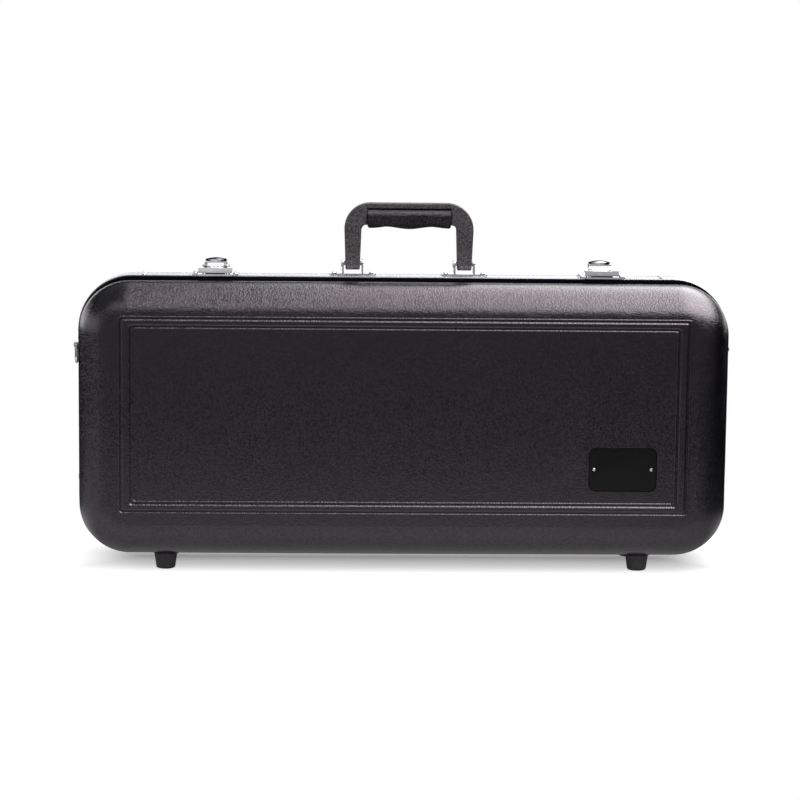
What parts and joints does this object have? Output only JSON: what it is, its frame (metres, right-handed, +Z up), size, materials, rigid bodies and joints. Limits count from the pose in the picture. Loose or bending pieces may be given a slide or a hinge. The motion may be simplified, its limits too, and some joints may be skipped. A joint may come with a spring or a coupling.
{
  "type": "trumpet case",
  "caption": "Moulded hard case for a trumpet, with metal rims, draw latches, a carrying handle, feet and a plush insert, opening on hinges along one long side.",
  "frame": {"origin": "centre of the case on the floor under its feet", "axes": "+Z up from the hinge side to the handle side, +X along the case, -Y towards the lid"},
  "size_m": [0.6026, 0.15, 0.3311],
  "materials": {
    "case_plastic": "moulded charcoal black with a fine leather grain",
    "valance_aluminium": "satin extruded rim",
    "hardware_chrome": "plated pressed steel",
    "rivet_steel": "plated",
    "handle_plastic": "satin black",
    "grip_rubber": "soft moulded",
    "nameplate_plastic": "smooth black, bare",
    "foot_rubber": "moulded",
    "plush_lining": "short plush pile over foam",
    "holder_plastic": "moulded"
  },
  "bodies": {
    "base": {"base_shell": "case_plastic", "base_valance": "valance_aluminium", "base_valance_rivets": "rivet_steel", "base_insert": "plush_lining", "mouthpiece_holder": "holder_plastic", "hinge_base_leaf_left": "hardware_chrome", "hinge_pin_left": "rivet_steel", "hinge_base_leaf_centre": "hardware_chrome", "hinge_pin_centre": "rivet_steel", "hinge_base_leaf_right": "hardware_chrome", "hinge_pin_right": "rivet_steel", "hinge_base_rivets": "rivet_steel", "handle_bracket_left": "hardware_chrome", "handle_pin_left": "rivet_steel", "handle_bracket_right": "hardware_chrome", "handle_pin_right": "rivet_steel", "handle_bracket_rivets": "rivet_steel", "latch_base_left": "hardware_chrome", "latch_pivot_pin_left": "rivet_steel", "latch_base_right": "hardware_chrome", "latch_pivot_pin_right": "rivet_steel", "latch_base_rivets": "rivet_steel", "base_foot_left": "foot_rubber", "base_foot_right": "foot_rubber", "base_foot_screws": "rivet_steel", "strap_bracket_left": "hardware_chrome", "strap_bracket_right": "hardware_chrome", "strap_rivets": "rivet_steel"},
    "lid": {"lid_shell": "case_plastic", "lid_valance": "valance_aluminium", "lid_valance_rivets": "rivet_steel", "lid_pad": "plush_lining", "nameplate": "nameplate_plastic", "nameplate_pins": "rivet_steel", "hinge_lid_leaf_left": "hardware_chrome", "hinge_lid_leaf_centre": "hardware_chrome", "hinge_lid_leaf_right": "hardware_chrome", "hinge_lid_rivets": "rivet_steel", "latch_keeper_left": "hardware_chrome", "latch_keeper_right": "hardware_chrome", "latch_keeper_rivets": "rivet_steel", "lid_foot_left": "foot_rubber", "lid_foot_right": "foot_rubber", "lid_foot_screws": "rivet_steel"},
    "handle": {"handle_frame": "handle_plastic", "handle_grip": "grip_rubber"},
    "lever_left": {"latch_lever_left": "hardware_chrome", "latch_hook_pin_left": "rivet_steel"},
    "lever_right": {"latch_lever_right": "hardware_chrome", "latch_hook_pin_right": "rivet_steel"},
    "hook_left": {"latch_hook_left": "hardware_chrome"},
    "hook_right": {"latch_hook_right": "hardware_chrome"},
    "ring_left": {"strap_ring_left": "hardware_chrome"},
    "ring_right": {"strap_ring_right": "hardware_chrome"}
  },
  "joints": [
    {"name": "lid_hinge", "type": "hinge", "parent": "base", "child": "lid", "pos_m": [0, 0, 0.0108], "axis": [1, 0, 0], "range_deg": [0, 110]},
    {"name": "handle_swing", "type": "hinge", "parent": "base", "child": "handle", "pos_m": [0, 0.008, 0.2756], "axis": [1, 0, 0], "range_deg": [-85, 85]},
    {"name": "lever_left_lift", "type": "hinge", "parent": "base", "child": "lever_left", "pos_m": [-0.1715, 0.005, 0.2716], "axis": [1, 0, 0], "range_deg": [0, 110]},
    {"name": "hook_left_swing", "type": "hinge", "parent": "lever_left", "child": "hook_left", "pos_m": [-0.1715, 0.013, 0.2701], "axis": [1, 0, 0], "range_deg": [-110, 0]},
    {"name": "lever_right_lift", "type": "hinge", "parent": "base", "child": "lever_right", "pos_m": [0.1805, 0.005, 0.2716], "axis": [1, 0, 0], "range_deg": [0, 110]},
    {"name": "hook_right_swing", "type": "hinge", "parent": "lever_right", "child": "hook_right", "pos_m": [0.1805, 0.013, 0.2701], "axis": [1, 0, 0], "range_deg": [-110, 0]},
    {"name": "ring_left_swing", "type": "hinge", "parent": "base", "child": "ring_left", "pos_m": [-0.2986, 0.008, 0.1991], "axis": [0, 1, 0], "range_deg": [0, 150]},
    {"name": "ring_right_swing", "type": "hinge", "parent": "base", "child": "ring_right", "pos_m": [0.2986, 0.008, 0.1991], "axis": [0, -1, 0], "range_deg": [0, 150]}
  ],
  "couplings": [
    {"joint": "hook_left_swing", "follows": "lever_left_lift", "ratio": -1},
    {"joint": "hook_right_swing", "follows": "lever_right_lift", "ratio": -1}
  ]
}
